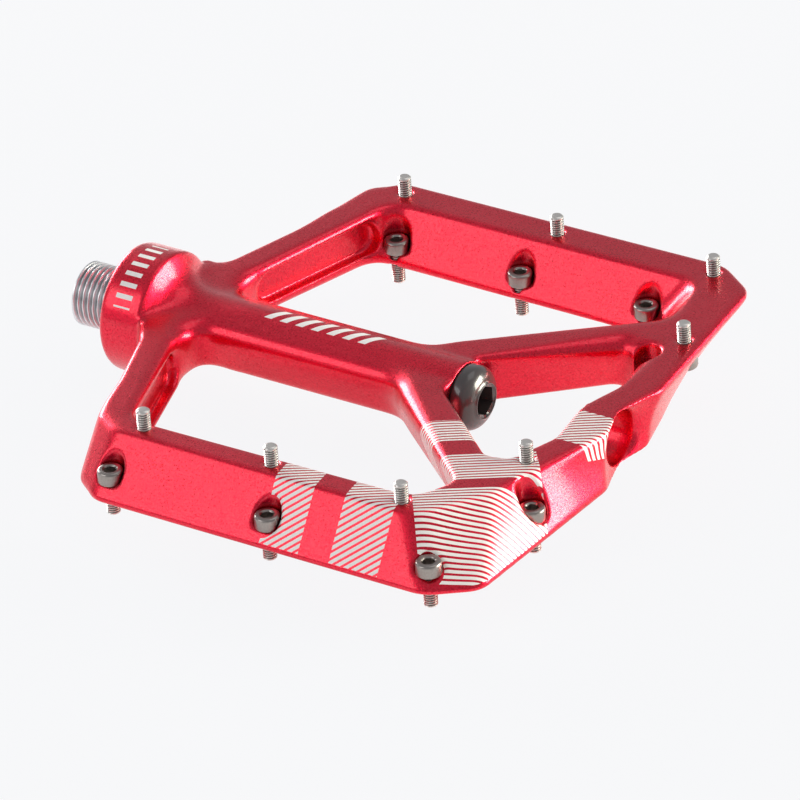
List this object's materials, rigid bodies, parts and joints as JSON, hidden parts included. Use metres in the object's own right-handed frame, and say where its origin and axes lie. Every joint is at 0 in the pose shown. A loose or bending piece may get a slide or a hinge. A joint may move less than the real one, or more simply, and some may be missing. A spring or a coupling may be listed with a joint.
{
  "type": "bicycle flat pedal",
  "caption": "Flat bicycle pedal: a thin open platform with an axle tube and traction pins turns on a threaded steel spindle in cartridge bearings and a plain bush.",
  "frame": {"origin": "on the spindle axis, at the spindle flange's shoulder face that seats against the crank", "axes": "+X along the spindle, outboard away from the crank; +Y across the platform towards its rear plate side (the platform looks the same turned half a turn about X); +Z square to the tread faces, up"},
  "size_m": [0.1366, 0.1242, 0.0282],
  "materials": {
    "anodised_red": "bead-blasted red anodised",
    "axle_steel": "machined steel",
    "bearing_steel": "ground bearing steel",
    "pin_steel": "plated steel, heads darker",
    "cap_black": "satin black",
    "seal_rubber": "matte",
    "bush_polymer": "self-lubricating polymer",
    "cage_polymer": "moulded polymer"
  },
  "bodies": {
    "spindle_assembly": {"spindle": "axle_steel", "inner_race_a": "bearing_steel", "inner_race_b": "bearing_steel", "inner_race_c": "bearing_steel", "thrust_washer": "axle_steel", "lock_nut": "axle_steel"},
    "platform": {"pedal_body": "anodised_red", "plain_bush": "bush_polymer", "collar_seal": "seal_rubber", "outer_race_a": "bearing_steel", "bearing_shields_a": "bearing_steel", "outer_race_b": "bearing_steel", "bearing_shields_b": "bearing_steel", "outer_race_c": "bearing_steel", "bearing_shields_c": "bearing_steel", "end_cap": "cap_black", "cap_o_ring": "seal_rubber", "pins_rear_plate_up": "pin_steel", "pins_rear_plate_down": "pin_steel", "pins_outer_frame_up": "pin_steel", "pins_outer_frame_down": "pin_steel", "pins_front_plate_up": "pin_steel", "pins_front_plate_down": "pin_steel"},
    "ball_train": {"bearing_balls_a": "bearing_steel", "ball_cage_a": "cage_polymer", "bearing_balls_b": "bearing_steel", "ball_cage_b": "cage_polymer", "bearing_balls_c": "bearing_steel", "ball_cage_c": "cage_polymer"}
  },
  "joints": [
    {"name": "platform_spin", "type": "hinge", "parent": "spindle_assembly", "child": "platform", "pos_m": [0, 0, 0], "axis": [1, 0, 0], "continuous": true},
    {"name": "ball_train_spin", "type": "hinge", "parent": "spindle_assembly", "child": "ball_train", "pos_m": [0, 0, 0], "axis": [1, 0, 0], "continuous": true}
  ],
  "couplings": [
    {"joint": "ball_train_spin", "follows": "platform_spin", "ratio": 0.60526}
  ]
}
